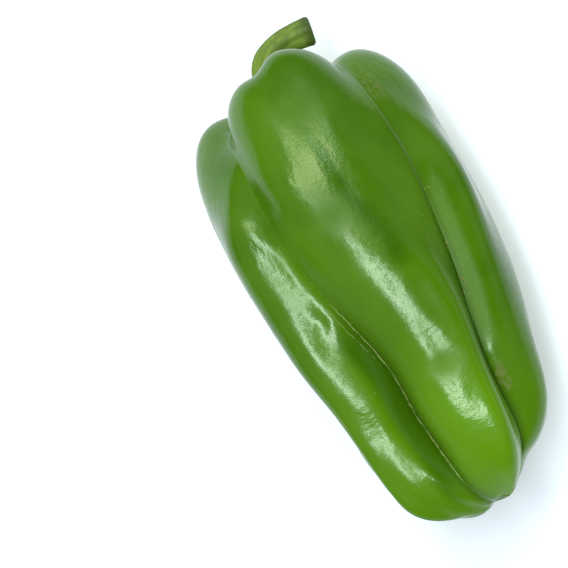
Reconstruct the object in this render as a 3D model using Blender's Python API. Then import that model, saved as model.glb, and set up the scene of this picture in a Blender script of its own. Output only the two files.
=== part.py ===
"""A long green bell pepper lying on its side, as picked.

The real thing is two grown pieces. The fruit is a pod of five lobes with deep grooves between them, built
here as one closed body. The stem is one piece with its calyx: a ribbed, bent stalk that flares into a small
toothed cap, which sits in the pit between the fruit's shoulders.

The fruit is shaped standing up: its axis runs from the blossom end, at height 0, to the stem end. Angles
go round that axis from the front, the side that faces up once the fruit lies down, towards +X. In the
finished part +Y runs from the blossom end to the stem and the fruit rests on two lobes of its back.
Run it with: blender --background --python part.py
"""
import math

import bpy
import numpy as np
from mathutils import Vector, noise

MM = 0.001

# Ridge line of the mean lobe, as (distance from the axis, height) in mm, from the blossom end up the side,
# over the shoulder and down to the middle of the stem pit.
RIDGE_LINE = (
    (0.0, 2.2), (1.8, 2.5), (4.0, 3.0), (7.0, 2.4), (11.0, 3.2), (16.5, 6.4), (22.0, 12.8), (26.6, 24.0),
    (29.8, 39.0), (33.6, 57.0), (36.6, 75.0), (37.9, 93.0), (37.3, 110.0), (34.9, 124.0), (30.4, 134.5),
    (23.6, 140.8), (17.4, 140.2), (13.6, 135.2), (11.6, 129.6), (8.0, 127.2), (4.0, 126.6), (0.0, 126.5),
)

# Places along the ridge line are shares of its length: 0 is the blossom end, 1 the middle of the stem pit.
FOOT, CROWN, PIT = 0.07, 0.84, 0.93

# Grooves between the lobes. angle is where the groove runs, in degrees; depth, in mm below the ridge line;
# soft is how far its bottom is rounded, as a share of half a lobe. Each is a list of (place, value).
GROOVES = (
    {
        "angle": ((0.0, -30), (0.14, -31), (0.24, -35.5), (0.30, -31), (0.36, -31.3), (0.42, -33.7),
                  (0.50, -37.7), (0.57, -40.3), (0.66, -42), (0.73, -48), (0.80, -62), (1.0, -64)),
        "depth": ((0.0, 0.0), (0.08, 3.0), (0.18, 8.0), (0.28, 9.5), (0.36, 8.0), (0.46, 5.0),
                  (0.58, 4.0), (0.68, 4.5), (0.77, 6.5), (0.84, 7.0), (0.91, 3.5), (0.96, 0.3), (1.0, 0.0)),
        "soft": ((0.0, 0.10), (0.30, 0.03), (0.38, 0.06), (0.50, 0.32), (0.66, 0.30), (0.80, 0.10),
                 (1.0, 0.10)),
    },
    {
        "angle": ((0.0, 48), (0.10, 50), (0.18, 42), (0.26, 34.5), (0.38, 36), (0.50, 36.8),
                  (0.58, 38.3), (0.68, 38.5), (0.78, 41), (0.84, 45), (1.0, 45)),
        "depth": ((0.0, 0.0), (0.08, 3.0), (0.18, 6.0), (0.30, 5.0), (0.45, 4.0), (0.60, 3.4),
                  (0.76, 4.6), (0.84, 5.4), (0.91, 3.0), (0.96, 0.3), (1.0, 0.0)),
        "soft": ((0.0, 0.10), (0.30, 0.03), (0.60, 0.06), (0.80, 0.08), (1.0, 0.10)),
    },
    {
        "angle": ((0.0, 118), (0.30, 116), (0.60, 113), (0.84, 116), (1.0, 116)),
        "depth": ((0.0, 0.0), (0.08, 3.0), (0.20, 6.0), (0.40, 6.0), (0.60, 5.5), (0.76, 6.5),
                  (0.84, 7.0), (0.91, 3.5), (0.96, 0.3), (1.0, 0.0)),
        "soft": ((0.0, 0.10), (0.30, 0.05), (0.60, 0.10), (1.0, 0.10)),
    },
    {
        "angle": ((0.0, 182), (0.25, 178), (0.50, 181), (0.72, 183), (0.84, 182), (1.0, 182)),
        "depth": ((0.0, 0.0), (0.08, 3.0), (0.20, 6.5), (0.40, 8.0), (0.60, 8.0), (0.76, 8.0),
                  (0.84, 7.5), (0.91, 3.5), (0.96, 0.3), (1.0, 0.0)),
        "soft": ((0.0, 0.10), (0.30, 0.05), (0.60, 0.10), (1.0, 0.10)),
    },
    {
        "angle": ((0.0, 246), (0.30, 248), (0.60, 247), (0.84, 243), (1.0, 243)),
        "depth": ((0.0, 0.0), (0.08, 3.0), (0.20, 5.5), (0.40, 5.5), (0.60, 5.0), (0.76, 6.5),
                  (0.84, 7.0), (0.91, 3.5), (0.96, 0.3), (1.0, 0.0)),
        "soft": ((0.0, 0.10), (0.30, 0.06), (0.60, 0.12), (1.0, 0.10)),
    },
)

# Lobes, each between the groove of the same place in GROOVES and the next one round: front, right, right
# back, left back, left. crown and foot raise its shoulder and its lower end, in mm; swell moves its ridge
# out, in mm; lean moves the ridge round towards the groove after it, from -1 to 1. A fold is a second,
# narrower ridge along the lobe, or a valley where its height is under 0: angle and half width in degrees.
LOBES = (
    {
        "crown": 0.0, "foot": 0.8,
        "swell": ((0.0, 0), (0.10, -0.6), (0.20, -0.7), (0.50, -1.2), (0.70, -0.9), (0.80, 3.2), (0.86, 3.5),
                  (0.93, 0), (1.0, 0)),
        "lean": ((0.0, 0.1), (0.15, 0.05), (0.30, 0.45), (0.40, -0.1), (0.50, -0.2), (0.62, -0.3),
                 (0.84, 0.3), (1.0, 0.3)),
        "folds": (
            {
                "angle": ((0.0, 8), (0.50, 14), (0.64, 3), (0.74, -3), (0.84, -14), (1.0, -14)),
                "height": ((0.0, 0), (0.42, 2.0), (0.54, -0.4), (0.64, -0.4), (0.76, -2.0), (0.84, -2.8),
                           (0.92, 0), (1.0, 0)),
                "width": ((0.0, 11), (1.0, 11)),
            },
            {
                "angle": ((0.0, 0), (0.20, 1), (0.32, 3), (0.44, 8), (0.56, -15), (1.0, -8)),
                "height": ((0.0, 0), (0.08, 0), (0.16, 0.3), (0.24, 0.9), (0.34, 0.2), (0.44, 0.4),
                           (0.54, 0.1), (0.62, 1.8), (0.70, 0), (1.0, 0)),
                "width": ((0.0, 8), (1.0, 8)),
            },
        ),
    },
    {
        "crown": -2.6, "foot": 8.2,
        "swell": ((0.0, 0), (0.10, 1.6), (0.22, 1.8), (0.35, 1.7), (0.50, 0.0), (0.65, -0.6),
                  (0.80, 2.3), (0.93, 0), (1.0, 0)),
        "lean": ((0.0, 0.0), (0.25, -0.8), (0.40, -0.3), (0.60, -0.1), (1.0, 0.0)),
        "folds": (
            {
                "angle": ((0.0, 55), (0.20, 50), (0.40, 48), (0.60, 54), (1.0, 55)),
                "height": ((0.0, 0), (0.10, 0), (0.22, -1.0), (0.34, 1.3), (0.46, 3.8), (0.58, 4.2),
                           (0.70, -1.0), (0.84, 0), (1.0, 0)),
                "width": ((0.0, 12), (1.0, 12)),
            },
        ),
    },
    {
        "crown": -1.5, "foot": 7.0,
        "swell": ((0.0, 0), (0.20, 3.0), (0.30, 3.5), (0.40, 2.2), (0.50, 0.3), (0.60, -0.6), (0.72, -1.0),
                  (0.93, 0), (1.0, 0)),
        "lean": ((0.0, 0.0), (1.0, 0.0)),
        "folds": (),
    },
    {
        "crown": -1.0, "foot": 4.0,
        "swell": ((0.0, 0), (0.20, 3.0), (0.30, 3.9), (0.40, 2.8), (0.50, 0.9), (0.60, 0.0), (0.72, -0.6),
                  (0.93, 0), (1.0, 0)),
        "lean": ((0.0, 0.0), (1.0, 0.0)),
        "folds": (),
    },
    {
        "crown": -1.4, "foot": -1.0,
        "swell": ((0.0, 0), (0.10, 2.4), (0.20, 3.8), (0.35, 0.9), (0.50, -0.6), (0.60, 0.1), (0.67, 0.6),
                  (0.75, 1.5), (0.83, 2.5), (0.93, 0), (1.0, 0)),
        "lean": ((0.0, 0.2), (0.12, 0.5), (0.22, 0.5), (0.32, 0.65), (0.42, 0.0), (0.55, 0.4),
                 (0.70, -0.1), (1.0, 0.0)),
        "folds": (
            {
                "angle": ((0.0, -62), (0.15, -60), (0.30, -58), (0.50, -49), (0.70, -50), (1.0, -60)),
                "height": ((0.0, 0), (0.08, 0), (0.13, 2.9), (0.18, 3.4), (0.23, 2.2), (0.28, 2.1),
                           (0.33, 4.2), (0.38, 5.2), (0.44, 6.5), (0.50, 7.3), (0.56, 6.8), (0.62, 6.4),
                           (0.75, 0.2), (0.88, 0), (1.0, 0)),
                "width": ((0.0, 12), (0.15, 5.5), (0.30, 8.5), (0.45, 18), (0.60, 18.5), (1.0, 14)),
            },
            {
                "angle": ((0.0, -42), (0.30, -36.5), (0.45, -44.5), (0.60, -45.5), (1.0, -46)),
                "height": ((0.0, 0), (0.30, 0), (0.36, -0.5), (0.42, -1.5), (0.48, -2.5), (0.54, -2.9),
                           (0.62, 0.5), (0.72, 0), (1.0, 0)),
                "width": ((0.0, 8), (1.0, 8)),
            },
        ),
    },
)

# How quickly a fold dies out at the grooves: a higher power keeps more of it beside them.
FOLD_FADE = 4

# How far the fruit's axis stands to the right of straight, in mm.
SWAY = ((0.0, 2.8), (0.12, 1.9), (0.26, 0.9), (0.42, 0.3), (0.60, 0.0), (1.0, 0.0))

# Unevenness of the skin: height in mm, and the distance in mm over which it changes.
UNEVEN, UNEVEN_LENGTH = 0.35, 22.0

# The fruit lies with its stem end raised by this angle and rests on flats this deep.
REST_TILT = 1.5
REST_FLAT = 0.8

COLUMNS_PER_LOBE = 17
SIDE_ROWS, TOP_ROWS, TOP_START = 37, 20, 0.79

# The stalk's middle line, as (right, height) in mm, and its outline from the rim of the calyx up, as
# (radius, distance along the stalk from the pit).
STALK_LINE = (
    (0.0, 126.5), (0.0, 129.0), (0.0, 131.5), (-0.8, 135.0), (-2.4, 140.5), (-2.8, 145.5), (0.0, 150.8),
    (5.0, 153.0), (10.5, 153.4), (17.6, 152.6),
)
STALK_OUTLINE = (
    (10.9, 3.6), (8.6, 3.9), (6.6, 5.0), (5.3, 8.0), (4.8, 13.0), (4.3, 20.0), (4.0, 28.0), (4.1, 36.0),
    (4.6, 41.6),
)
CALYX_GAP = 0.35
CALYX_START = 0.946
TOOTH_LENGTH, TOOTH_HALF_WIDTH = 1.3, 16.0
RIBS, RIB_HEIGHT = 5, 0.28
CUT_DISH = 0.5
STALK_SIDES, STALK_RINGS = 40, 30


def spline(knots, at):
    """The natural cubic curve through knots, a list of (place, value), read at the places in at."""
    x, y = np.array(knots, float).T
    step = np.diff(x)
    slope = np.diff(y) / step
    count = len(x)
    matrix, right = np.eye(count), np.zeros(count)
    for i in range(1, count - 1):
        matrix[i, i - 1:i + 2] = step[i - 1], 2 * (step[i - 1] + step[i]), step[i]
        right[i] = 3 * (slope[i] - slope[i - 1])
    bend = np.linalg.solve(matrix, right)
    i = np.clip(np.searchsorted(x, at, side="right") - 1, 0, count - 2)
    d = at - x[i]
    rate = slope[i] - step[i] * (2 * bend[i] + bend[i + 1]) / 3
    return y[i] + d * (rate + d * (bend[i] + d * (bend[i + 1] - bend[i]) / (3 * step[i])))


def curve(points, at):
    """A smooth curve through points, read at the shares of its length in at, and its unit direction there."""
    points = np.array(points, float)
    along = np.concatenate([[0], np.cumsum(np.linalg.norm(np.diff(points, axis=0), axis=1))])
    along /= along[-1]

    def read(share):
        return np.stack([spline(np.column_stack([along, line]), share) for line in points.T], axis=-1)

    run = read(np.minimum(at + 1e-4, 1)) - read(np.maximum(at - 1e-4, 0))
    return read(at), run / np.linalg.norm(run, axis=-1, keepdims=True)


def ease(value, low, high):
    """0 up to low, 1 from high on, turning smoothly in between."""
    t = np.clip((value - low) / (high - low), 0, 1)
    return t * t * t * (t * (6 * t - 15) + 10)


def fruit_rings(places, across):
    """Rings of points of the fruit, shaped standing: one ring at each place, a point at each share across."""
    ridge, run = curve(RIDGE_LINE, places)
    crown_part = ease(places, 0.45, CROWN) * (1 - ease(places, CROWN, PIT))
    foot_part = ease(places, 0.0, FOOT) * (1 - ease(places, FOOT, 0.34))
    columns = []
    for k, lobe in enumerate(LOBES):
        nearby = LOBES[k - 1], LOBES[(k + 1) % len(LOBES)]
        grooves = GROOVES[k], GROOVES[(k + 1) % len(LOBES)]
        start, end = (spline(groove["angle"], places) for groove in grooves)
        end = np.where(end < start, end + 360, end)
        swell, lean = spline(lobe["swell"], places), spline(lobe["lean"], places)
        for share in across:
            mix = share * share * (3 - 2 * share)
            depth, soft = (
                (1 - mix) * spline(grooves[0][name], places) + mix * spline(grooves[1][name], places)
                for name in ("depth", "soft")
            )
            edge = 1 - abs(2 * (share - lean * share * (1 - share)) - 1)
            rise = (np.sqrt(edge * edge + soft * soft) - soft) / (np.sqrt(1 + soft * soft) - soft)
            full = 1 - (1 - rise) ** 2.2
            crown, foot = (
                lobe[name]
                + (1 - full) * ((1 - mix) * nearby[0][name] + mix * nearby[1][name] - lobe[name]) / 2
                for name in ("crown", "foot")
            )
            degrees = start + (end - start) * share
            out = full * swell - (1 - full) * depth
            for fold in lobe["folds"]:
                angle, height, width = (spline(fold[name], places) for name in ("angle", "height", "width"))
                off = (degrees - angle + 180) % 360 - 180
                out = out + (1 - (1 - edge) ** FOLD_FADE) * height * np.exp(-(off / width) ** 2)
            radius = ridge[:, 0] + run[:, 1] * out
            height = ridge[:, 1] - run[:, 0] * out + crown_part * crown + foot_part * foot
            turn = np.radians(degrees)
            columns.append(np.stack([radius * np.sin(turn), radius * np.cos(turn), height], axis=-1))
    rings = np.stack(columns, axis=1)
    rings[..., 0] += spline(SWAY, places)[:, None]
    return rings * (1 + uneven(rings)[..., None] * (1 - ease(places, 0.86, 0.92))[:, None, None])


def uneven(rings):
    """How far each point stands out of the even shape, as a share of its distance from the middle."""
    points = rings.reshape(-1, 3)
    heights = [noise.noise(Vector(p / UNEVEN_LENGTH)) for p in points]
    middle = np.array((0.0, 0.0, 70.0))
    away = np.linalg.norm((points - middle), axis=1)
    return (UNEVEN * np.array(heights) / away).reshape(rings.shape[:2])


def lobe_shares(count):
    """Where a lobe's columns stand across it, closer together at the grooves."""
    return (1 - np.cos(np.pi * np.arange(count) / count)) / 2


def tooth(degrees):
    """How much of a calyx tooth there is in each direction: 1 at its tip, over a groove."""
    shape = np.zeros_like(degrees)
    for groove in GROOVES:
        off = (degrees - groove["angle"][-1][1] + 180) % 360 - 180
        shape = np.maximum(shape, np.clip(1 - np.abs(off) / TOOTH_HALF_WIDTH, 0, 1))
    return shape


def stalk_rings(sides, rings):
    """Rings of points of the stalk and its calyx, shaped standing, from its underside to its cut end."""
    degrees = np.linspace(0, 360, sides, endpoint=False)
    turn = np.radians(degrees)
    dish, run = curve(RIDGE_LINE, np.linspace(0.995, CALYX_START, 8))
    under = np.column_stack([dish[:, 0] + run[:, 1] * CALYX_GAP, dish[:, 1] - run[:, 0] * CALYX_GAP])
    outline, _ = curve(STALK_OUTLINE, np.linspace(0, 1, rings) ** 1.3)
    length = STALK_OUTLINE[-1][1]
    end = STALK_OUTLINE[-1][0]
    cut = ((end * 0.94, length + 0.35), (end * 0.80, length + 0.2), (end * 0.5, length - 0.2))
    made = []
    for radius, height in under:
        radius = radius + TOOTH_LENGTH * tooth(degrees) * ease(radius, 7.5, 10.5)
        made.append(np.stack([radius * np.sin(turn), radius * np.cos(turn), np.full(sides, height)], axis=-1))
    whole = stalk_length()
    for radius, along in list(outline) + list(cut):
        middle, direction = curve(STALK_LINE, np.array([along / whole]))
        (x, height), (right, up) = middle[0], direction[0]
        ribs = RIB_HEIGHT * np.cos(RIBS * turn) * ease(along, 4, 9)
        radius = radius + ribs * radius / end + TOOTH_LENGTH * tooth(degrees) * ease(radius, 7.0, 10.5)
        across, front = radius * np.sin(turn), radius * np.cos(turn)
        made.append(np.stack([x + across * up, front, height - across * right], axis=-1))
    return np.stack(made)


def stalk_length():
    """Length of the stalk's middle line, from point to point."""
    return np.linalg.norm(np.diff(np.array(STALK_LINE), axis=0), axis=1).sum()


def lie_down(points):
    """The standing shape turned onto its back, stem end raised; still in mm."""
    x, front, height = np.moveaxis(points, -1, 0)
    tilt = math.radians(REST_TILT)
    along = height * math.cos(tilt) - front * math.sin(tilt)
    up = height * math.sin(tilt) + front * math.cos(tilt)
    return np.stack([x, along, up], axis=-1)


def ring_mesh(name, rings, first, last):
    """A closed mesh from rings of points, in mm, with one point at each end."""
    count, sides = rings.shape[:2]
    points = np.concatenate([rings.reshape(-1, 3), [first, last]]) * MM
    faces = []
    for i in range(count - 1):
        for j in range(sides):
            n = (j + 1) % sides
            faces.append((i * sides + j, i * sides + n, (i + 1) * sides + n, (i + 1) * sides + j))
    for j in range(sides):
        n = (j + 1) % sides
        faces.append((count * sides, n, j))
        faces.append((count * sides + 1, (count - 1) * sides + j, (count - 1) * sides + n))
    mesh = bpy.data.meshes.new(name)
    mesh.from_pydata([tuple(p) for p in points], [], faces)
    mesh.shade_smooth()
    return mesh


def place_piece(name, mesh, colour, roughness):
    """Puts a mesh into the scene under this name, in a material of its own."""
    piece = bpy.data.objects.new(name, mesh)
    bpy.context.scene.collection.objects.link(piece)
    material = bpy.data.materials.new(name)
    material.use_nodes = True
    shader = material.node_tree.nodes["Principled BSDF"]
    shader.inputs["Base Color"].default_value = (*colour, 1)
    shader.inputs["Roughness"].default_value = roughness
    mesh.materials.append(material)


for old in list(bpy.data.objects):
    bpy.data.objects.remove(old)

fruit_places = np.concatenate([
    np.linspace(0, TOP_START, SIDE_ROWS, endpoint=False), np.linspace(TOP_START, 1, TOP_ROWS)
])
fruit = lie_down(fruit_rings(fruit_places[1:-1], lobe_shares(COLUMNS_PER_LOBE)))
fruit_ends = lie_down(np.array([(SWAY[0][1], 0, RIDGE_LINE[0][1]), (0, 0, RIDGE_LINE[-1][1])]))
stalk = lie_down(stalk_rings(STALK_SIDES, STALK_RINGS))
cut_middle = curve(STALK_LINE, np.array([(STALK_OUTLINE[-1][1] - CUT_DISH) / stalk_length()]))[0][0]
stalk_ends = lie_down(np.array([(0, 0, RIDGE_LINE[-1][1] + CALYX_GAP), (cut_middle[0], 0, cut_middle[1])]))

# The origin is the middle of the underside of the box round both pieces.
floor = fruit[..., 2].min() + REST_FLAT
fruit[..., 2] = np.maximum(fruit[..., 2], floor)
every_point = np.concatenate([fruit.reshape(-1, 3), stalk.reshape(-1, 3), fruit_ends, stalk_ends])
origin = (every_point.min(axis=0) + every_point.max(axis=0)) / 2
origin[2] = floor
fruit_mesh = ring_mesh("fruit", fruit - origin, *(fruit_ends - origin))
stalk_mesh = ring_mesh("stem_with_calyx", stalk - origin, *(stalk_ends - origin))
place_piece("fruit", fruit_mesh, (0.09, 0.24, 0.012), 0.3)
place_piece("stem_with_calyx", stalk_mesh, (0.2, 0.36, 0.06), 0.5)
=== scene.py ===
"""A long green bell pepper lying on its back lobes on a pale floor, seen almost from straight above."""
import math

import bpy
import numpy as np
from mathutils import Matrix, Vector, noise


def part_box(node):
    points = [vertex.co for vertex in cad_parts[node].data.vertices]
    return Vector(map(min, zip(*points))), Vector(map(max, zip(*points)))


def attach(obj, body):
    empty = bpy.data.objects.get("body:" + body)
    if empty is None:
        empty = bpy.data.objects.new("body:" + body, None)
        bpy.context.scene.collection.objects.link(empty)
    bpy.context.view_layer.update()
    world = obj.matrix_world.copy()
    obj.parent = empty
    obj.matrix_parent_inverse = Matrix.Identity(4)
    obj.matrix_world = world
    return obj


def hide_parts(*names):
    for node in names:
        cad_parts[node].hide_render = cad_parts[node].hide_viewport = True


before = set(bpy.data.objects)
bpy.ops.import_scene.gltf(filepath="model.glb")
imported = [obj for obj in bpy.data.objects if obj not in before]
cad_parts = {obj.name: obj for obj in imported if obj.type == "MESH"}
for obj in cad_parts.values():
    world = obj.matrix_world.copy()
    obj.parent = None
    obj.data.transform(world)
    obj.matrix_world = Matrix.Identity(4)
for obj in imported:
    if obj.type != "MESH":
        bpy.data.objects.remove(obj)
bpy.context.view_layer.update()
MM = 0.001

# The fruit: one pod of five lobes, grown as one piece, with a tight waxy skin over thick flesh.
# Its lobes run from a small nub at the blossom end, over the belly, to the shoulders round the stem pit.
# It is shaped standing, in mm, and then laid on its back with the stem end raised a little.
RIDGE_LINE = (
    (0.0, 2.2), (1.8, 2.5), (4.0, 3.0), (7.0, 2.4), (11.0, 3.2), (16.5, 6.4), (22.0, 12.8), (26.6, 24.0),
    (29.8, 39.0), (33.6, 57.0), (36.6, 75.0), (37.9, 93.0), (37.3, 110.0), (34.9, 124.0), (30.4, 134.5),
    (23.6, 140.8), (17.4, 140.2), (13.6, 135.2), (11.6, 129.6), (8.0, 127.2), (4.0, 126.6), (0.0, 126.5),
)
FOOT, FOOT_END, CROWN_START, CROWN, PIT = 0.07, 0.34, 0.45, 0.84, 0.93
# The grooves, from the front left one round to the right, each value at places along the fruit. The angle is
# in degrees from the front, the depth in mm, and soft rounds the groove's bottom.
GROOVES = (
    {
        "angle": ((0.0, -30), (0.14, -31), (0.24, -35.5), (0.30, -31), (0.36, -31.3), (0.42, -33.7),
                  (0.50, -37.7), (0.57, -40.3), (0.66, -42), (0.73, -48), (0.80, -62), (1.0, -64)),
        "depth": ((0.0, 0.0), (0.07, 0.9), (0.11, 2.6), (0.18, 8.0), (0.28, 9.5), (0.36, 8.0), (0.46, 5.0),
                  (0.58, 4.0), (0.68, 4.5), (0.77, 6.5), (0.84, 7.0), (0.91, 3.5), (0.96, 0.3), (1.0, 0.0)),
        "soft": ((0.0, 0.10), (0.30, 0.03), (0.38, 0.06), (0.50, 0.32), (0.66, 0.30), (0.80, 0.10),
                 (1.0, 0.10)),
    },
    {
        "angle": ((0.0, 48), (0.10, 50), (0.18, 42), (0.26, 34.5), (0.38, 36), (0.50, 36.8),
                  (0.58, 38.3), (0.68, 38.5), (0.78, 41), (0.84, 45), (1.0, 45)),
        "depth": ((0.0, 0.0), (0.08, 3.0), (0.18, 6.0), (0.30, 5.0), (0.45, 4.0), (0.60, 3.4),
                  (0.76, 4.0), (0.84, 4.0), (0.91, 2.0), (0.96, 0.3), (1.0, 0.0)),
        "soft": ((0.0, 0.10), (0.30, 0.03), (0.50, 0.05), (0.64, 0.14), (0.80, 0.16), (1.0, 0.12)),
    },
    {
        "angle": ((0.0, 118), (0.30, 116), (0.60, 113), (0.84, 116), (1.0, 116)),
        "depth": ((0.0, 0.0), (0.08, 3.0), (0.20, 6.0), (0.40, 6.0), (0.60, 5.5), (0.76, 6.5),
                  (0.84, 7.0), (0.91, 3.5), (0.96, 0.3), (1.0, 0.0)),
        "soft": ((0.0, 0.10), (0.30, 0.05), (0.60, 0.10), (1.0, 0.10)),
    },
    {
        "angle": ((0.0, 182), (0.25, 178), (0.50, 181), (0.72, 183), (0.84, 182), (1.0, 182)),
        "depth": ((0.0, 0.0), (0.08, 3.0), (0.20, 6.5), (0.40, 8.0), (0.60, 8.0), (0.76, 8.0),
                  (0.84, 7.5), (0.91, 3.5), (0.96, 0.3), (1.0, 0.0)),
        "soft": ((0.0, 0.10), (0.30, 0.05), (0.60, 0.10), (1.0, 0.10)),
    },
    {
        "angle": ((0.0, 246), (0.30, 248), (0.60, 247), (0.84, 243), (1.0, 243)),
        "depth": ((0.0, 0.0), (0.08, 3.0), (0.20, 5.5), (0.40, 5.5), (0.60, 5.0), (0.76, 6.5),
                  (0.84, 7.0), (0.91, 3.5), (0.96, 0.3), (1.0, 0.0)),
        "soft": ((0.0, 0.10), (0.30, 0.06), (0.60, 0.12), (1.0, 0.10)),
    },
)
# The lobes: front, right, right back, left back, left. crown and foot raise the shoulder and the lower end,
# and swell moves the ridge out, in mm. lean moves it round towards the groove after it. A fold is a narrower
# ridge, or a valley where its height is under 0: angle and half width in degrees, height in mm.
LOBES = (
    {
        "crown": 0.0, "foot": 0.8,
        "swell": ((0.0, 0), (0.10, -0.4), (0.20, -0.9), (0.50, -2.0), (0.70, -0.9), (0.80, 3.2), (0.86, 3.5),
                  (0.93, 0), (1.0, 0)),
        "lean": ((0.0, 0.1), (0.15, -0.04), (0.30, 0.22), (0.40, 0), (0.50, -0.68), (0.62, -0.55),
                 (0.84, 0.3), (1.0, 0.3)),
        "folds": (
            {
                "angle": ((0.0, 8), (0.50, 15.6), (0.64, 0.5), (0.74, -2.8), (0.84, -14), (1.0, -14)),
                "height": ((0.0, 0), (0.42, 2.7), (0.54, -0.2), (0.64, -0.3), (0.76, -2.6), (0.84, -2.9),
                           (0.92, 0), (1.0, 0)),
                "width": ((0.0, 11), (1.0, 11)),
            },
            {
                "angle": ((0.0, 0), (0.20, 6), (0.26, 9), (0.32, 11.3), (0.38, 6.7), (0.44, 5.6),
                          (0.50, -1.4), (0.56, -15), (1.0, -8)),
                "height": ((0.0, 0), (0.08, 0), (0.16, 0.3), (0.21, 0.25), (0.26, 0.45), (0.31, 0.45),
                           (0.36, 0.4), (0.41, 0.4), (0.46, 0.3), (0.52, 0), (0.57, 0.35), (0.62, 1.8),
                           (0.70, 0.8), (1.0, 0)),
                "width": ((0.0, 7.7), (0.25, 6), (0.45, 4.9), (0.60, 9.7), (1.0, 8.4)),
            },
        ),
    },
    {
        "crown": -2.6, "foot": 8.2,
        "swell": ((0.0, 0), (0.10, 1.6), (0.22, 1.8), (0.35, 1.7), (0.50, 0.0), (0.65, -0.6),
                  (0.80, 2.3), (0.93, 0), (1.0, 0)),
        "lean": ((0.0, 0.0), (0.25, -0.8), (0.40, -0.3), (0.60, -0.1), (1.0, 0.0)),
        "folds": (
            {
                "angle": ((0.0, 55), (0.20, 50), (0.40, 48), (0.60, 54), (1.0, 55)),
                "height": ((0.0, 0), (0.10, 0), (0.22, -1.0), (0.34, 1.3), (0.46, 3.8), (0.58, 4.2),
                           (0.70, -1.0), (0.84, 0), (1.0, 0)),
                "width": ((0.0, 12), (1.0, 12)),
            },
        ),
    },
    {
        "crown": -1.5, "foot": 7.0,
        "swell": ((0.0, 0), (0.20, 3.0), (0.30, 3.5), (0.40, 2.2), (0.50, 0.3), (0.60, -0.6), (0.72, -1.0),
                  (0.93, 0), (1.0, 0)),
        "lean": ((0.0, 0.0), (1.0, 0.0)),
        "folds": (),
    },
    {
        "crown": -1.0, "foot": 4.0,
        "swell": ((0.0, 0), (0.20, 3.0), (0.30, 3.9), (0.40, 2.8), (0.50, 0.9), (0.60, 0.0), (0.72, -0.6),
                  (0.93, 0), (1.0, 0)),
        "lean": ((0.0, 0.0), (1.0, 0.0)),
        "folds": (),
    },
    {
        "crown": -1.4, "foot": -1.0,
        "swell": ((0.0, 0), (0.10, 2.5), (0.20, 4.3), (0.35, 0.1), (0.50, -2.2), (0.60, 0.1), (0.67, 0.7),
                  (0.75, 1.5), (0.83, 2.5), (0.93, 0), (1.0, 0)),
        "lean": ((0.0, 0.2), (0.12, 0.69), (0.22, 0.66), (0.32, 0.63), (0.42, 0.29), (0.55, 0.63),
                 (0.70, -0.1), (1.0, 0.0)),
        "folds": (
            {
                "angle": ((0.0, -62), (0.08, -62), (0.15, -62.3), (0.22, -60), (0.30, -57), (0.38, -54),
                          (0.50, -46), (0.60, -43.3), (0.70, -42), (1.0, -60)),
                "height": ((0.0, 0), (0.08, 0), (0.13, 3.4), (0.18, 2.3), (0.23, 1.7), (0.28, 2.8),
                           (0.33, 4.8), (0.38, 7.0), (0.44, 8.1), (0.50, 8.9), (0.56, 8.0), (0.62, 6.7),
                           (0.75, 0.2), (0.88, 0), (1.0, 0)),
                "width": ((0.0, 12), (0.10, 4.3), (0.15, 4.5), (0.22, 4.3), (0.30, 9.2), (0.38, 16.3),
                          (0.45, 24.3), (0.60, 22), (1.0, 14)),
            },
            {
                "angle": ((0.0, -42), (0.20, -48), (0.30, -50.7), (0.38, -46.4), (0.45, -44), (0.52, -44),
                          (0.60, -47), (1.0, -46)),
                "height": ((0.0, 0), (0.12, -1.2), (0.20, -0.9), (0.30, -0.5), (0.36, -1.6), (0.42, -4.6),
                           (0.48, -4.8), (0.54, -4.8), (0.62, 0.2), (0.72, 0), (1.0, 0)),
                "width": ((0.0, 8), (0.25, 5), (0.40, 8.3), (0.50, 9), (0.60, 6.2), (1.0, 8)),
            },
        ),
    },
)
FOLD_FADE = 4
LOBE_FULLNESS = 2.2
SWAY = ((0.0, 2.8), (0.12, 1.9), (0.26, 0.9), (0.42, 0.3), (0.60, 0.0), (1.0, 0.0))
UNEVEN, UNEVEN_LENGTH, UNEVEN_MIDDLE = 0.35, 22.0, 70.0
REST_TILT = 1.5
REST_FLAT = 0.8
SHOULDER = 0.79
COLUMNS_PER_LOBE, BODY_ROWS, SHOULDER_ROWS = 54, 244, 95
# Ripples of the skin: their length round the fruit and along it, their height, all in mm, and a seed.
RIPPLES = ((9.0, 8.0, 0.05, 3.1), (5.0, 3.0, 0.02, 7.7))
# Small facets pressed into the skin: place, angle in degrees, radius along and across in mm, and the slope
# that each gives the skin, towards the stem end and to the right.
FACETS = (
    (0.427, -43.8, 1.6, 1.9, 0.0, 0.16), (0.296, 5.5, 2.6, 3.6, -0.13, 0.08),
    (0.276, 39.0, 2.4, 2.2, 0.10, 0.19), (0.254, 40.8, 2.0, 2.0, 0.12, 0.17),
    (0.500, -45.0, 8.0, 4.0, 0.0, 0.05), (0.466, -41.8, 5.0, 2.5, 0.0, 0.06),
)
# Spots where the wax is duller: place, angle in degrees, and radius along and across in mm.
DULL_SPOTS = ((0.286, 6.5, 3.4, 7.0), (0.556, -9.5, 5.5, 8.0), (0.740, 3.0, 7.5, 11.0))
# A shallow crease down the front lobe: its line as places and angles, where it starts and ends, and its depth
# and widths to the left and right, in mm. A band of painted shade darkens the skin along it, a little to its
# right.
CREASE = (
    (0.40, 8), (0.44, 7.5), (0.49, 8.0), (0.512, 6.1), (0.541, 3.6), (0.563, 1.3), (0.615, 1.0),
    (0.657, 0.6), (0.70, -2),
)
CREASE_RUN = (0.54, 0.60, 0.65, 0.69)
CREASE_DEPTH, CREASE_LEFT, CREASE_RIGHT = 0.28, 1.3, 2.8
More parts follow.
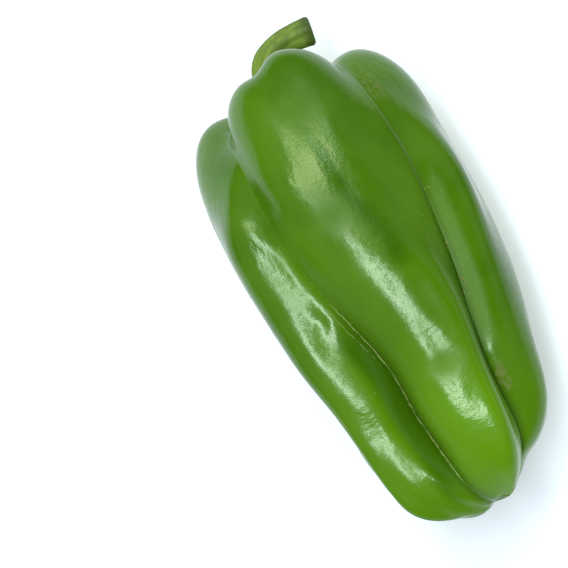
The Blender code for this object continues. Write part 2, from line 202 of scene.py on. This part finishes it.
# The painted shade along the crease: where it runs and where it narrows, as places, and its offset to the
# right and its widths, in mm.
CREASE_SHADE_RUN, CREASE_SHADE_NARROWS = (0.42, 0.47, 0.645, 0.675), (0.48, 0.62)
CREASE_SHADE_OFFSET, CREASE_SHADE_NARROW, CREASE_SHADE_EXTRA = 0.6, 1.3, 2.6


def spline(knots, at):
    """The natural cubic curve through knots, a list of (place, value), read at the places in at."""
    x, y = np.array(knots, float).T
    step = np.diff(x)
    slope = np.diff(y) / step
    count = len(x)
    matrix, right = np.eye(count), np.zeros(count)
    for i in range(1, count - 1):
        matrix[i, i - 1:i + 2] = step[i - 1], 2 * (step[i - 1] + step[i]), step[i]
        right[i] = 3 * (slope[i] - slope[i - 1])
    bend = np.linalg.solve(matrix, right)
    i = np.clip(np.searchsorted(x, at, side="right") - 1, 0, count - 2)
    d = at - x[i]
    rate = slope[i] - step[i] * (2 * bend[i] + bend[i + 1]) / 3
    return y[i] + d * (rate + d * (bend[i] + d * (bend[i + 1] - bend[i]) / (3 * step[i])))


def curve(points, at):
    """A smooth curve through points, read at the shares of its length in at, and its unit direction there."""
    points = np.array(points, float)
    along = np.concatenate([[0], np.cumsum(np.linalg.norm(np.diff(points, axis=0), axis=1))])
    along /= along[-1]

    def read(share):
        return np.stack([spline(np.column_stack([along, line]), share) for line in points.T], axis=-1)

    run = read(np.minimum(at + 1e-4, 1)) - read(np.maximum(at - 1e-4, 0))
    return read(at), run / np.linalg.norm(run, axis=-1, keepdims=True)


def ease(value, low, high):
    """0 up to low, 1 from high on, turning smoothly in between."""
    t = np.clip((value - low) / (high - low), 0, 1)
    return t * t * t * (t * (6 * t - 15) + 10)


def stretch(value, start, full, fade, end):
    """0 outside start and end, 1 from full to fade, turning smoothly in between."""
    return ease(value, start, full) * (1 - ease(value, fade, end))


def bumps(points, length, seed=0.0):
    """Smooth noise from about -1 to 1 at each point, changing over length: a number, or one for each axis."""
    scaled = points.reshape(-1, 3) / length + seed
    return np.array([noise.noise(Vector(p)) for p in scaled]).reshape(points.shape[:-1])


def fruit_rings(places, across):
    """Rings of points of the fruit in mm, shaped standing. across holds the shares of the way over a lobe."""
    ridge, run = curve(RIDGE_LINE, places)
    crown_part = stretch(places, CROWN_START, CROWN, CROWN, PIT)
    foot_part = stretch(places, 0.0, FOOT, FOOT, FOOT_END)
    columns = []
    for k, lobe in enumerate(LOBES):
        nearby = LOBES[k - 1], LOBES[(k + 1) % len(LOBES)]
        grooves = GROOVES[k], GROOVES[(k + 1) % len(LOBES)]
        start, end = (spline(groove["angle"], places) for groove in grooves)
        end = np.where(end < start, end + 360, end)
        swell, lean = spline(lobe["swell"], places), spline(lobe["lean"], places)
        for share in across:
            mix = share * share * (3 - 2 * share)
            depth, soft = (
                (1 - mix) * spline(grooves[0][name], places) + mix * spline(grooves[1][name], places)
                for name in ("depth", "soft")
            )
            edge = 1 - abs(2 * (share - lean * share * (1 - share)) - 1)
            rise = (np.sqrt(edge * edge + soft * soft) - soft) / (np.sqrt(1 + soft * soft) - soft)
            full = 1 - (1 - rise) ** LOBE_FULLNESS
            beside = (
                (name, (1 - mix) * nearby[0][name] + mix * nearby[1][name]) for name in ("crown", "foot")
            )
            crown, foot = (lobe[name] + (1 - full) * (value - lobe[name]) / 2 for name, value in beside)
            degrees = start + (end - start) * share
            out = full * swell - (1 - full) * depth
            for fold in lobe["folds"]:
                angle, height, width = (spline(fold[name], places) for name in ("angle", "height", "width"))
                off = (degrees - angle + 180) % 360 - 180
                out = out + (1 - (1 - edge) ** FOLD_FADE) * height * np.exp(-(off / width) ** 2)
            radius = ridge[:, 0] + run[:, 1] * out
            height = ridge[:, 1] - run[:, 0] * out + crown_part * crown + foot_part * foot
            turn = np.radians(degrees)
            columns.append(np.stack([radius * np.sin(turn), radius * np.cos(turn), height], axis=-1))
    rings = np.stack(columns, axis=1)
    rings[..., 0] += spline(SWAY, places)[:, None]
    away = np.linalg.norm(rings - np.array((0.0, 0.0, UNEVEN_MIDDLE)), axis=-1)
    calm = (1 - ease(places, 0.86, 0.92))[:, None]
    uneven = calm * UNEVEN * bumps(rings, UNEVEN_LENGTH) / away
    return rings * (1 + uneven[..., None])


def lie_down(points):
    """The standing shape turned onto its back, stem end raised; still in mm."""
    x, front, height = np.moveaxis(points, -1, 0)
    tilt = math.radians(REST_TILT)
    along = height * math.cos(tilt) - front * math.sin(tilt)
    up = height * math.sin(tilt) + front * math.cos(tilt)
    return np.stack([x, along, up], axis=-1)


def ring_mesh(name, rings, first, last, marks):
    """A closed mesh from rings of points in mm and a point at each end. marks are numbers at each point."""
    count, sides = rings.shape[:2]
    points = np.concatenate([rings.reshape(-1, 3), [first, last]]) * MM
    j = np.arange(sides)
    n = (j + 1) % sides
    rows = np.arange(count - 1)[:, None] * sides
    quads = np.stack([rows + j, rows + n, rows + sides + n, rows + sides + j], axis=-1).reshape(-1, 4)
    top = (count - 1) * sides
    caps = [(count * sides, b, a) for a, b in zip(j, n)]
    caps += [(count * sides + 1, top + a, top + b) for a, b in zip(j, n)]
    mesh = bpy.data.meshes.new(name)
    mesh.from_pydata(points.tolist(), [], quads.tolist() + [tuple(int(i) for i in cap) for cap in caps])
    mesh.shade_smooth()
    for mark, values in marks.items():
        layer = mesh.attributes.new(mark, "FLOAT", "POINT")
        ends = [values[0].mean(), values[-1].mean()]
        layer.data.foreach_set("value", np.concatenate([values.reshape(-1), ends]).astype(np.float32))
    return mesh


def add_piece(name, mesh, material, node):
    """Puts the mesh into the scene in place of its CAD node, in this material."""
    piece = bpy.data.objects.new(name, mesh)
    bpy.context.scene.collection.objects.link(piece)
    mesh.materials.append(material)
    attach(piece, "root")
    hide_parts(node)
    return piece


class Wire:
    """A socket in a tree of shader nodes. Arithmetic on it adds Math nodes; add makes any other node."""

    def __init__(self, tree, socket=None):
        self.tree, self.socket = tree, socket

    def add(self, kind, settings=None, inputs=None, output=0):
        """Adds a node of this kind with its settings, fills or links its sockets, and returns one output."""
        node = self.tree.nodes.new("ShaderNode" + kind)
        for name, value in (settings or {}).items():
            setattr(node, name, value)
        for name, value in (inputs or {}).items():
            if isinstance(value, Wire):
                self.tree.links.new(value.socket, node.inputs[name])
            else:
                node.inputs[name].default_value = value
        return Wire(self.tree, node.outputs[output])

    def math(self, operation, *values):
        return self.add("Math", {"operation": operation}, dict(enumerate(values)))

    def __add__(self, other):
        return self.math("ADD", self, other)

    __radd__ = __add__

    def __sub__(self, other):
        return self.math("SUBTRACT", self, other)

    def __rsub__(self, other):
        return self.math("SUBTRACT", other, self)

    def __mul__(self, other):
        return self.math("MULTIPLY", self, other)

    __rmul__ = __mul__

    def rise(self, low, high):
        """0 up to low, 1 from high on, smooth in between. With low above high it falls."""
        return self.add("MapRange", {"interpolation_type": "SMOOTHSTEP"}, {0: self, 1: low, 2: high})

    def band(self, start, full, fade, end):
        """0 outside start and end, 1 from full to fade, smooth in between."""
        return self.rise(start, full) * self.rise(end, fade)

    def mark(self, name):
        """A number stored at each point of the mesh."""
        return self.add("Attribute", {"attribute_name": name}, output="Fac")

    def stretched(self, x, y, z):
        """Places on the object, in mm, each axis divided by its own length."""
        place = self.add("TexCoord", output="Object")
        scale = 1000 / x, 1000 / y, 1000 / z
        return place.add("VectorMath", {"operation": "MULTIPLY"}, {0: place, 1: scale})

    def grain(self, lengths, detail=2.0, rough=0.5):
        """Noise from 0 to 1 whose lumps are lengths mm long along X, Y and Z."""
        place = self.stretched(*lengths)
        return self.add("TexNoise", {}, {"Vector": place, "Scale": 1.0, "Detail": detail, "Roughness": rough})

    def dots(self, length):
        """How far each place is from the middle of its own dot, for dots about length mm apart."""
        inputs = {"Vector": self.stretched(length, length, length), "Scale": 1.0}
        return self.add("TexVoronoi", {"feature": "F1"}, inputs)

    def blend(self, first, second):
        """From the first colour to the second as this number goes from 0 to 1."""
        colours = [c if isinstance(c, Wire) else (*c, 1) for c in (first, second)]
        settings = {"data_type": "RGBA", "clamp_factor": True}
        return self.add("Mix", settings, {0: self, 6: colours[0], 7: colours[1]}, output=2)


def new_material(name):
    """An empty material: its start for adding nodes, its shader and itself."""
    material = bpy.data.materials.new(name)
    material.use_nodes = True
    return Wire(material.node_tree), material.node_tree.nodes["Principled BSDF"], material


def dress(start, shader, colour, roughness, height, constants):
    """Joins colour, roughness and a bump of this height in mm to the shader, and sets its constants."""
    bump = start.add("Bump", {}, {"Height": height, "Distance": MM, "Strength": 1.0})
    for name, wire in (("Base Color", colour), ("Roughness", roughness), ("Normal", bump)):
        start.tree.links.new(wire.socket, shader.inputs[name])
    for name, value in constants.items():
        shader.inputs[name].default_value = value


across = (1 - np.cos(np.pi * np.arange(COLUMNS_PER_LOBE) / COLUMNS_PER_LOBE)) / 2
fruit_places = np.concatenate([
    np.linspace(0, SHOULDER, BODY_ROWS, endpoint=False), np.linspace(SHOULDER, 1, SHOULDER_ROWS),
])[1:-1]
standing = fruit_rings(fruit_places, across)
ripple = sum(
    bumps(standing, np.array((length_round, length_round, length_along)), seed) * tall
    for length_round, length_along, tall, seed in RIPPLES
)
smooth_ends = stretch(fruit_places, 0.0, 0.05, 0.88, 0.94)
outward = standing * (1, 1, 0)
outward /= np.maximum(np.linalg.norm(outward, axis=-1, keepdims=True), 1e-6)
standing = standing + outward * (ripple * smooth_ends[:, None])[..., None]
ridge_length = np.linalg.norm(np.diff(np.array(RIDGE_LINE), axis=0), axis=1).sum()
radius = np.linalg.norm(standing[..., :2], axis=-1)
angle = np.degrees(np.arctan2(standing[..., 0], standing[..., 1]))


def away_from(place, degrees):
    """How far each point of the fruit lies from a spot on it, along and across the lobe, in mm."""
    return (fruit_places[:, None] - place) * ridge_length, np.radians(angle - degrees) * radius


pressed, dull = np.zeros(standing.shape[:2]), np.zeros(standing.shape[:2])
for place, degrees, long, wide, slope_along, slope_across in FACETS:
    up_it, across_it = away_from(place, degrees)
    near = np.exp(-(up_it / long) ** 2 - (across_it / wide) ** 2)
    pressed -= near * (up_it * slope_along + across_it * slope_across)
for place, degrees, long, wide in DULL_SPOTS:
    up_it, across_it = away_from(place, degrees)
    dull = np.maximum(dull, np.exp(-(up_it / long) ** 2 - (across_it / wide) ** 2))
crease_angle = np.interp(fruit_places, *np.array(CREASE).T)
from_crease = np.radians(angle - crease_angle[:, None]) * radius
in_crease = np.exp(-(from_crease / np.where(from_crease < 0, CREASE_LEFT, CREASE_RIGHT)) ** 2)
pressed -= CREASE_DEPTH * in_crease * stretch(fruit_places, *CREASE_RUN)[:, None]
standing = standing + outward * pressed[..., None]
# Painted shade: a dark band just to the right of the crease, narrowing towards the crown.
crease_shade_width = CREASE_SHADE_NARROW + CREASE_SHADE_EXTRA * (1 - ease(fruit_places, *CREASE_SHADE_NARROWS))
painted_crease_shade = np.exp(-((from_crease - CREASE_SHADE_OFFSET) / crease_shade_width[:, None]) ** 2)
painted_crease_shade *= stretch(fruit_places, *CREASE_SHADE_RUN)[:, None]
fruit = lie_down(standing)

# How far each point is from the nearest groove, from the long scarred groove at the front left, and from the
# groove at the front right, in mm; how crisp the nearest groove is; how near the front lobe's middle it is.
steps = np.linalg.norm(np.diff(np.concatenate([standing, standing[:, :1]], axis=1), axis=1), axis=-1)
steps = steps.reshape(len(fruit_places), len(LOBES), COLUMNS_PER_LOBE)
before = np.cumsum(steps, axis=2) - steps
after = steps.sum(axis=2, keepdims=True) - before
FAR = 30.0
from_scar, from_right_groove = np.full_like(before, FAR), np.full_like(before, FAR)
from_scar[:, 0], from_scar[:, -1] = before[:, 0], -after[:, -1]
from_right_groove[:, 1], from_right_groove[:, 0] = before[:, 1], -after[:, 0]
softness = np.stack([spline(groove["soft"], fruit_places) for groove in GROOVES], axis=1)
crisp = 1 - ease(softness, 0.05, 0.28)
crisp = np.where(before < after, crisp[:, :, None], np.roll(crisp, -1, axis=1)[:, :, None])
on_front = np.zeros_like(before)
on_front[:, 0] = np.sin(np.pi * across)
each_ring = (len(fruit_places), -1)
fruit_marks = {
    "groove": np.minimum(before, after).reshape(each_ring), "scar": from_scar.reshape(each_ring),
    "right_groove": from_right_groove.reshape(each_ring), "crisp": crisp.reshape(each_ring),
    "front": on_front.reshape(each_ring), "crease": painted_crease_shade, "dull": dull,
    "along": np.repeat(fruit_places[:, None], standing.shape[1], axis=1),
}

floor = fruit[..., 2].min() + REST_FLAT
fruit[..., 2] = np.maximum(fruit[..., 2], floor)
low, high = (np.array(corner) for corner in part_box("fruit"))
origin = (fruit.min(axis=(0, 1)) + fruit.max(axis=(0, 1))) / 2 - (low + high) / 2 / MM
origin[2] = floor
fruit_ends = lie_down(np.array([(SWAY[0][1], 0, RIDGE_LINE[0][1]), (0, 0, RIDGE_LINE[-1][1])])) - origin

# The skin's greens, from the deep to the fresh, the greens of the painted shade in its grooves, beside the
# scar and along the crease, and the browns and yellows of its marks.
DEEP_GREEN, FRESH_GREEN = (0.050, 0.140, 0.0014), (0.076, 0.185, 0.0022)
FOOT_GREEN, PATCH_GREEN = (0.118, 0.275, 0.0024), (0.092, 0.215, 0.0040)
GROOVE_SHADE_GREEN, CREASE_SHADE_GREEN = (0.024, 0.072, 0.0010), (0.034, 0.112, 0.0006)
SCAR_SIDE_SHADE_GREEN = (0.020, 0.078, 0.0008)
SPECK, SCAR_THREAD, BEAD = (0.26, 0.34, 0.08), (0.30, 0.36, 0.09), (0.34, 0.25, 0.07)
SCUFF, PIT_BROWN = (0.22, 0.21, 0.075), (0.24, 0.15, 0.045)
SKIN_ROUGHNESS, SKIN_RIPPLE = 0.17, 0.12

start, shader, skin = new_material("waxy_green_skin")
groove, scar, along, crisp_here = (start.mark(name) for name in ("groove", "scar", "along", "crisp"))
from_right = start.mark("right_groove")
patch = start.grain((30, 44, 30), 3.0).rise(0.36, 0.64)
small_patch = start.grain((8, 11, 8), 3.0).rise(0.35, 0.68)
colour = patch.blend(DEEP_GREEN, FRESH_GREEN)
pale_foot = along.rise(0.42, 0.16) * (start.mark("front").rise(0.1, 0.8) * 0.5 + 0.5)
colour = pale_foot.blend(colour, FOOT_GREEN)
colour = (small_patch * 0.22).blend(colour, PATCH_GREEN)
# Painted shade: the skin is darkened in the crisp grooves, less so towards the crown.
painted_groove_shade = groove.rise(2.6, 0.2) * crisp_here * (1 - along.rise(0.45, 0.62) * 0.7)
colour = (painted_groove_shade * 0.5).blend(colour, GROOVE_SHADE_GREEN)
# Painted shade: a darker band on the left lobe's wall beside the scarred groove.
painted_scar_side_shade = scar.band(-9.5, -5.0, -1.2, 0.6) * along.band(0.08, 0.15, 0.36, 0.44)
colour = (painted_scar_side_shade * 0.6).blend(colour, SCAR_SIDE_SHADE_GREEN)
# Painted shade along the crease on the front lobe.
colour = (start.mark("crease") * 0.8).blend(colour, CREASE_SHADE_GREEN)
pit = along.rise(0.925, 0.955)
colour = (pit * start.grain((2.5, 2.5, 2.5), 3.0).rise(0.30, 0.62)).blend(colour, PIT_BROWN)

# Pale specks, then the thread of scar tissue down the left groove, with a thinner one beside it.
specks = start.dots(3.6).rise(0.11, 0.04) * start.grain((26, 30, 26), 1.5).rise(0.50, 0.64)
colour = (specks * 0.45).blend(colour, SPECK)
scar_wander = scar + (start.grain((3, 4, 3), 2.0) - 0.5) * 1.3
second = scar_wander + 1.5 + along.rise(0.30, 0.42) * 0.4
thin_thread = second.math("ABSOLUTE", second).rise(0.18, 0.05) * along.rise(0.31, 0.36) * 0.7
thread = scar_wander.math("ABSOLUTE", scar_wander).rise(0.22, 0.06)
thread = thread.math("MAXIMUM", thread, thin_thread)
thread = thread * along.band(0.09, 0.13, 0.42, 0.46) * start.grain((0.9, 1.8, 0.9), 2.0).rise(0.30, 0.56)
colour = (thread * 0.75).blend(colour, SCAR_THREAD)

# Brown beads along the right groove, and two scuffs beside it.
beads = start.dots(2.2).rise(0.20, 0.10) * from_right.band(-0.5, 0.3, 1.6, 3.4)
beads = beads * along.band(0.26, 0.32, 0.56, 0.66) * start.grain((6, 6, 6), 1.0).rise(0.46, 0.58)
colour = (beads * 0.8).blend(colour, BEAD)
crown_scuff = from_right.band(0.3, 1.8, 4.0, 7.5) * along.band(0.695, 0.725, 0.75, 0.785) * 0.5
foot_scuff = from_right.band(0.2, 1.0, 3.0, 5.0) * along.band(0.185, 0.205, 0.235, 0.265) * 0.45
scuffs = (crown_scuff + foot_scuff) * start.grain((1.3, 2.2, 1.3), 3.0).rise(0.38, 0.62)
colour = scuffs.blend(colour, SCUFF)

crosswise, lengthwise = start.grain((5.0, 2.2, 5.0), 3.0, 0.55), start.grain((2.4, 7.0, 2.4), 3.0, 0.55)
turned = along.rise(0.46, 0.56)
ripples = (crosswise * (1 - turned) + lengthwise * turned) * SKIN_RIPPLE
ripples = ripples + start.grain((1.5, 1.1, 1.5), 2.0) * 0.030
height = ripples - groove.rise(0.8, 0.0) * crisp_here * 0.12 + thread * 0.08 + specks * 0.03 + beads * 0.05
dull_side = from_right.band(-0.6, 0.6, 3.0, 7.0) * along.band(0.28, 0.32, 0.48, 0.58)
dull_flanks = scar.band(0.4, 2.0, 7.0, 12.0) + from_right.band(-9.0, -5.0, -1.5, 0.0)
dull_flanks = dull_flanks * along.rise(0.52, 0.44)
roughness = SKIN_ROUGHNESS + small_patch * 0.07 + thread * 0.4 + beads * 0.3 + pit * 0.3 + scuffs * 0.3
roughness = roughness + dull_side * 0.3 + dull_flanks * 0.3 + start.mark("dull") * 0.35
dress(start, shader, colour, roughness, height, {
    "Specular IOR Level": 0.32, "Specular Tint": (0.85, 1.0, 0.66, 1), "Subsurface Weight": 0.06,
    "Subsurface Radius": (0.35, 1.0, 0.15), "Subsurface Scale": 0.0015,
})
fruit_mesh = ring_mesh("fruit_skin", fruit - origin, *fruit_ends, fruit_marks)
add_piece("fruit_skin", fruit_mesh, skin, "fruit")

# The stalk with its calyx: one grown piece, a ribbed green stalk that bends over the shoulder and ends in
# a knife cut. At its foot it flares into the calyx, whose rim of small dry teeth is grown onto the pit.
STALK_LINE = (
    (0.0, 126.5), (0.0, 129.0), (0.0, 131.5), (-0.8, 135.0), (-2.4, 140.5), (-2.8, 145.5), (0.0, 150.8),
    (5.0, 153.0), (10.5, 153.4), (17.6, 152.6),
)
STALK_OUTLINE = (
    (10.9, 3.6), (8.6, 3.9), (6.6, 5.0), (5.3, 8.0), (4.8, 13.0), (4.3, 20.0), (4.0, 28.0), (4.1, 36.0),
    (4.6, 41.6),
)
CALYX_GAP = 0.35
CALYX_START = 0.946
TOOTH_LENGTH, TOOTH_HALF_WIDTH = 1.3, 16.0
RIBS, RIB_HEIGHT = 5, 0.28
CUT_EDGE, CUT_DISH, CUT_ROUND = 0.35, 0.5, 1.3
DISH_SLOPE, DISH_EDGE = 0.7, 0.94
KNOB_HEIGHT, KNOB_LENGTHS = 0.16, (3.5, 3.5, 6.0)
STALK_SIDES, STALK_RINGS = 120, 150


def tooth(degrees):
    """How much of a calyx tooth there is in each direction: 1 at its tip, over a groove."""
    shape = np.zeros_like(degrees)
    for one in GROOVES:
        off = (degrees - one["angle"][-1][1] + 180) % 360 - 180
        shape = np.maximum(shape, np.clip(1 - np.abs(off) / TOOTH_HALF_WIDTH, 0, 1))
    return shape


def stalk_length():
    """Length of the stalk's middle line, from point to point."""
    return np.linalg.norm(np.diff(np.array(STALK_LINE), axis=0), axis=1).sum()


def stalk_rings(sides, rings):
    """Rings of points of the stalk and its calyx, shaped standing, and how far along the stalk each lies."""
    degrees = np.linspace(0, 360, sides, endpoint=False)
    turn = np.radians(degrees)
    dish, run = curve(RIDGE_LINE, np.linspace(0.995, CALYX_START, 10))
    under = np.column_stack([dish[:, 0] + run[:, 1] * CALYX_GAP, dish[:, 1] - run[:, 0] * CALYX_GAP])
    outline, _ = curve(STALK_OUTLINE, np.linspace(0, 1, rings) ** 1.3)
    length = STALK_OUTLINE[-1][1]
    end = STALK_OUTLINE[-1][0]
    cut = [(end, length + CUT_EDGE * s) for s in (0.25, 0.5, 0.75, 1.0)]
    cut += [(end * r, length + CUT_EDGE - DISH_SLOPE * (DISH_EDGE - r)) for r in (0.70, 0.6, 0.4, 0.2)]
    made, lengths = [], []
    for radius, height in under:
        radius = radius + TOOTH_LENGTH * tooth(degrees) * ease(radius, 7.5, 10.5)
        made.append(np.stack([radius * np.sin(turn), radius * np.cos(turn), np.full(sides, height)], axis=-1))
        lengths.append(0.0)
    whole = stalk_length()
    for radius, distance in list(outline) + cut:
        rounding = np.clip((distance - length - CUT_EDGE + CUT_ROUND) / CUT_ROUND, 0, 0.98)
        radius -= CUT_ROUND * (1 - math.sqrt(1 - rounding ** 2)) * (radius > end - CUT_ROUND)
        middle, direction = curve(STALK_LINE, np.array([distance / whole]))
        (x, height), (right, up) = middle[0], direction[0]
        ribs = RIB_HEIGHT * np.cos(RIBS * turn) * ease(distance, 4, 9)
        radius = radius + ribs * radius / end + TOOTH_LENGTH * tooth(degrees) * ease(radius, 7.0, 10.5)
        across, front = radius * np.sin(turn), radius * np.cos(turn)
        made.append(np.stack([x + across * up, front, height - across * right], axis=-1))
        lengths.append(distance)
    return np.stack(made), np.repeat(np.array(lengths)[:, None], sides, axis=1)


stalk_standing, stalk_along = stalk_rings(STALK_SIDES, STALK_RINGS)
knobs = bumps(stalk_standing, np.array(KNOB_LENGTHS), 11.3) * KNOB_HEIGHT
stalk_calm = stretch(stalk_along, 5, 9, 38, 41)
middle_line = stalk_standing.mean(axis=1, keepdims=True)
from_middle = stalk_standing - middle_line
from_middle /= np.maximum(np.linalg.norm(from_middle, axis=-1, keepdims=True), 1e-6)
stalk = lie_down(stalk_standing + from_middle * (knobs * stalk_calm)[..., None]) - origin
cut_share = (STALK_OUTLINE[-1][1] - CUT_DISH) / stalk_length()
cut_right, cut_height = curve(STALK_LINE, np.array([cut_share]))[0][0]
stalk_ends = lie_down(np.array([(0, 0, RIDGE_LINE[-1][1] + CALYX_GAP), (cut_right, 0, cut_height)])) - origin
ring_radius = np.linalg.norm(stalk_standing - middle_line, axis=-1)

STALK_DARK, STALK_LIGHT, STALK_FRESH = (0.135, 0.215, 0.022), (0.200, 0.300, 0.036), (0.270, 0.400, 0.046)
STALK_BLOTCH, STALK_END, STALK_CUT = (0.060, 0.110, 0.010), (0.048, 0.085, 0.010), (0.10, 0.14, 0.03)
CALYX_RIM = (0.20, 0.13, 0.045)
MARK_RADIUS = 4.3

start, shader, stalk_green = new_material("ribbed_green_stalk")
along, spread = start.mark("along"), start.mark("spread")
fibre_place = start.add("CombineXYZ", {}, {0: start.mark("right"), 1: start.mark("front"), 2: along * 0.1})
fibres = start.add("TexNoise", {}, {"Vector": fibre_place, "Scale": 1.1, "Detail": 3.0, "Roughness": 0.6})
mottle = fibres.rise(0.36, 0.64)
colour = mottle.blend(STALK_DARK, STALK_LIGHT)
colour = (along.rise(26, 8) * 0.7).blend(colour, STALK_FRESH)
blotches = start.grain((7, 7, 7), 2.0).rise(0.52, 0.62) * along.rise(24, 30)
colour = (blotches * 0.5).blend(colour, STALK_BLOTCH)
colour = (along.rise(37.5, 41.0) * 0.8).blend(colour, STALK_END)
rim = spread.rise(8.2, 10.6) * start.grain((2, 2, 2), 3.0).rise(0.35, 0.6)
colour = rim.blend(colour, CALYX_RIM)
colour = start.mark("cut").blend(colour, STALK_CUT)
height = fibres * 0.16 + start.grain((0.8, 0.8, 0.8), 2.0) * 0.03
roughness = 0.42 + mottle * 0.12
dress(start, shader, colour, roughness, height, {
    "Specular IOR Level": 0.25, "Subsurface Weight": 0.08, "Subsurface Radius": (0.5, 1.0, 0.2),
    "Subsurface Scale": 0.0012,
})
ring_turn = np.linspace(0, 2 * np.pi, STALK_SIDES, endpoint=False)
CUT_RINGS = 4
stalk_marks = {
    "along": stalk_along, "spread": ring_radius,
    "right": MARK_RADIUS * np.tile(np.sin(ring_turn), (len(stalk), 1)),
    "front": MARK_RADIUS * np.tile(np.cos(ring_turn), (len(stalk), 1)),
    "cut": np.repeat((np.arange(len(stalk)) >= len(stalk) - CUT_RINGS)[:, None], STALK_SIDES, axis=1) * 1.0,
}
stalk_mesh = ring_mesh("stalk_with_calyx", stalk, *stalk_ends, stalk_marks)
add_piece("stalk_with_calyx", stalk_mesh, stalk_green, "stem_with_calyx")

# The studio: a plain white floor under a pale tent with a dark opening to the right of the camera. Two long
# windows, one in front of the other, draw the streaks down the lobes, and two small ones light the shoulders.
TOWARD_CAMERA = Vector((0.0, -0.23345, 0.97237))
CAMERA_ROLL = math.radians(27)
CAMERA_PLACE = Vector((-0.02598, -0.12109, 0.57085))
FLOOR_HALF, FLOOR_DROP = 3, 0.0002
right = Vector((1, 0, 0))
up = TOWARD_CAMERA.cross(right)
picture_right = right * math.cos(CAMERA_ROLL) - up * math.sin(CAMERA_ROLL)
picture_up = up * math.cos(CAMERA_ROLL) + right * math.sin(CAMERA_ROLL)


def aim(thing, place, across, up, back):
    """Stands a camera or light at a place with these directions to its right, top and back."""
    thing.matrix_world = Matrix((
        (across.x, up.x, back.x, place.x), (across.y, up.y, back.y, place.y),
        (across.z, up.z, back.z, place.z), (0, 0, 0, 1),
    ))


camera = bpy.data.objects.new("camera", bpy.data.cameras.new("camera"))
bpy.context.scene.collection.objects.link(camera)
camera.data.sensor_width = 36
camera.data.lens = 118.8
aim(camera, CAMERA_PLACE, picture_right, picture_up, TOWARD_CAMERA)
bpy.context.scene.camera = camera
bpy.context.scene.view_settings.view_transform = "Standard"

floor_mesh = bpy.data.meshes.new("floor")
corners = ((-1, -1), (1, -1), (1, 1), (-1, 1))
floor_points = [(x * FLOOR_HALF, y * FLOOR_HALF, -FLOOR_DROP) for x, y in corners]
floor_mesh.from_pydata(floor_points, [], [(0, 1, 2, 3)])
floor_piece = bpy.data.objects.new("floor", floor_mesh)
bpy.context.scene.collection.objects.link(floor_piece)
start, shader, floor_white = new_material("white_floor")
shader.inputs["Base Color"].default_value = (0.80, 0.84, 0.86, 1)
shader.inputs["Emission Color"].default_value = (0.96, 1.0, 1.0, 1)
shader.inputs["Emission Strength"].default_value = 0.32
shader.inputs["Roughness"].default_value = 0.9
floor_mesh.materials.append(floor_white)


FRUIT_MIDDLE = Vector((0, 0, 0.04))
DAYLIGHT = (0.94, 1, 1.2)


def add_window(name, side, above, width, height, distance, watts, colour):
    """A soft window at these angles beside and above the camera's direction, its sizes in metres."""
    side, above = math.radians(side), math.radians(above)
    toward = (TOWARD_CAMERA + right * math.tan(side) + up * math.tan(above)).normalized()
    lamp = bpy.data.lights.new(name, "AREA")
    lamp.shape = "RECTANGLE"
    lamp.size, lamp.size_y, lamp.energy, lamp.color = width, height, watts, colour
    window = bpy.data.objects.new(name, lamp)
    bpy.context.scene.collection.objects.link(window)
    top = (up - toward * up.dot(toward)).normalized()
    aim(window, toward * distance + FRUIT_MIDDLE, top.cross(toward), top, toward)


add_window("wide_window", -11, 7, width=0.24, height=0.72, distance=1.25, watts=2.5, colour=DAYLIGHT)
add_window("bright_middle", -11, 7, width=0.11, height=0.72, distance=1.2, watts=6.0, colour=DAYLIGHT)
add_window("dim_window", -4, 33, width=0.38, height=0.20, distance=1.2, watts=3.8, colour=(1, 1, 0.8))
add_window("cool_window", 15, 36, width=0.15, height=0.14, distance=1.2, watts=0.9, colour=(0.8, 1, 1))

HORIZON, OVERHEAD = (0.12, 0.14, 0.13), (0.52, 0.57, 0.62)
OPENING, TABLE_EDGE = (0.01, 0.01, 0.01), (0.06, 0.07, 0.06)
GRAZING = 0.05
world = bpy.data.worlds.new("pale_tent")
world.use_nodes = True
bpy.context.scene.world = world
start = Wire(world.node_tree)
facing = start.add("TexCoord", output="Generated")
toward, sideways, upward = (
    facing.add("VectorMath", {"operation": "DOT_PRODUCT"}, {0: facing, 1: tuple(axis)}, output="Value")
    for axis in (TOWARD_CAMERA, right, up)
)
side, above = (
    axis.math("DIVIDE", axis, toward.math("MAXIMUM", toward, GRAZING)) for axis in (sideways, upward)
)
opening = side.band(0.12, 0.30, 0.62, 0.95) * above.band(-0.45, -0.20, 0.62, 0.85)
opening = opening * toward.rise(GRAZING, 0.15)
table_edge = above.rise(-0.40, -0.85) * toward.rise(0.25, 0.5)
shade = opening.blend(toward.rise(0.0, 0.60).blend(HORIZON, OVERHEAD), OPENING)
shade = (table_edge * 0.8).blend(shade, TABLE_EDGE)
background = world.node_tree.nodes["Background"]
world.node_tree.links.new(shade.socket, background.inputs["Color"])
background.inputs["Strength"].default_value = 1.0
